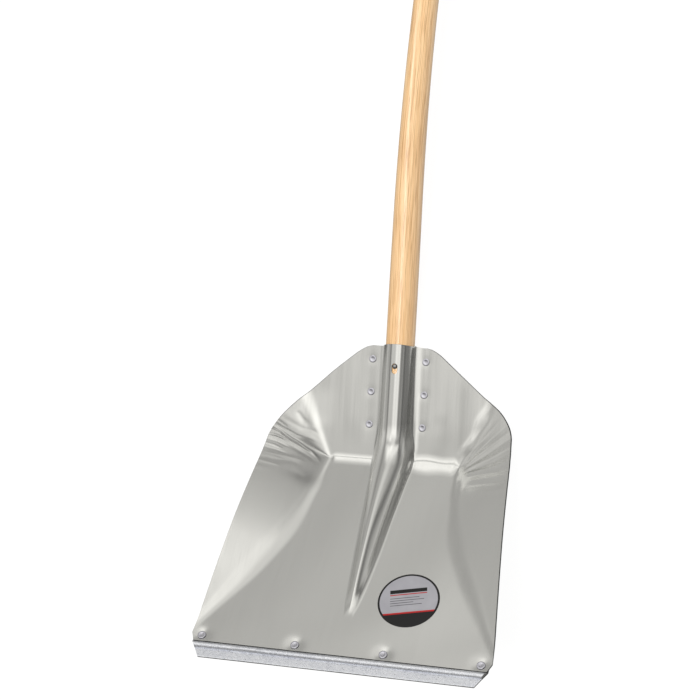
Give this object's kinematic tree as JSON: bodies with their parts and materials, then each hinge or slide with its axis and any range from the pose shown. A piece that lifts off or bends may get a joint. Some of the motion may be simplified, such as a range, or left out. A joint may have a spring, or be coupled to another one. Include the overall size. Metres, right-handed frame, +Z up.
{
  "type": "snow shovel",
  "caption": "Pressed aluminium scoop snow shovel with a ribbed half-round socket, riveted galvanised wear edge and a bent wooden handle",
  "frame": {"origin": "on the ground, at the centre of the bounding box's base, with the shovel lying on its heel and on the handle's free end", "axes": "+Y runs from the wear edge to the handle's free end, +Z is up with the working face upwards, +X is to the right when looking along +Y"},
  "size_m": [0.4002, 1.613, 0.1761],
  "materials": {
    "blade_sheet": "bare pressed sheet with fine lengthwise brushing",
    "socket_sheet": "bare pressed sheet, dull",
    "galvanised_strip": "hot-dip galvanised, faint spangle",
    "ash_wood": "smooth sanded ash, lightly waxed",
    "screw_steel": "dark zinc",
    "rivet_metal": "bare, slightly polished",
    "label_foil": "plain silver foil with a dark keyline"
  },
  "bodies": {
    "root": {"blade": "blade_sheet", "socket_plate": "socket_sheet", "wear_edge": "galvanised_strip", "handle": "ash_wood", "handle_screw": "screw_steel", "socket_rivet_left_1": "rivet_metal", "socket_rivet_left_2": "rivet_metal", "socket_rivet_left_3": "rivet_metal", "socket_rivet_right_1": "rivet_metal", "socket_rivet_right_2": "rivet_metal", "socket_rivet_right_3": "rivet_metal", "edge_rivet_1": "rivet_metal", "edge_rivet_2": "rivet_metal", "edge_rivet_3": "rivet_metal", "edge_rivet_4": "rivet_metal", "label": "label_foil"}
  },
  "joints": []
}
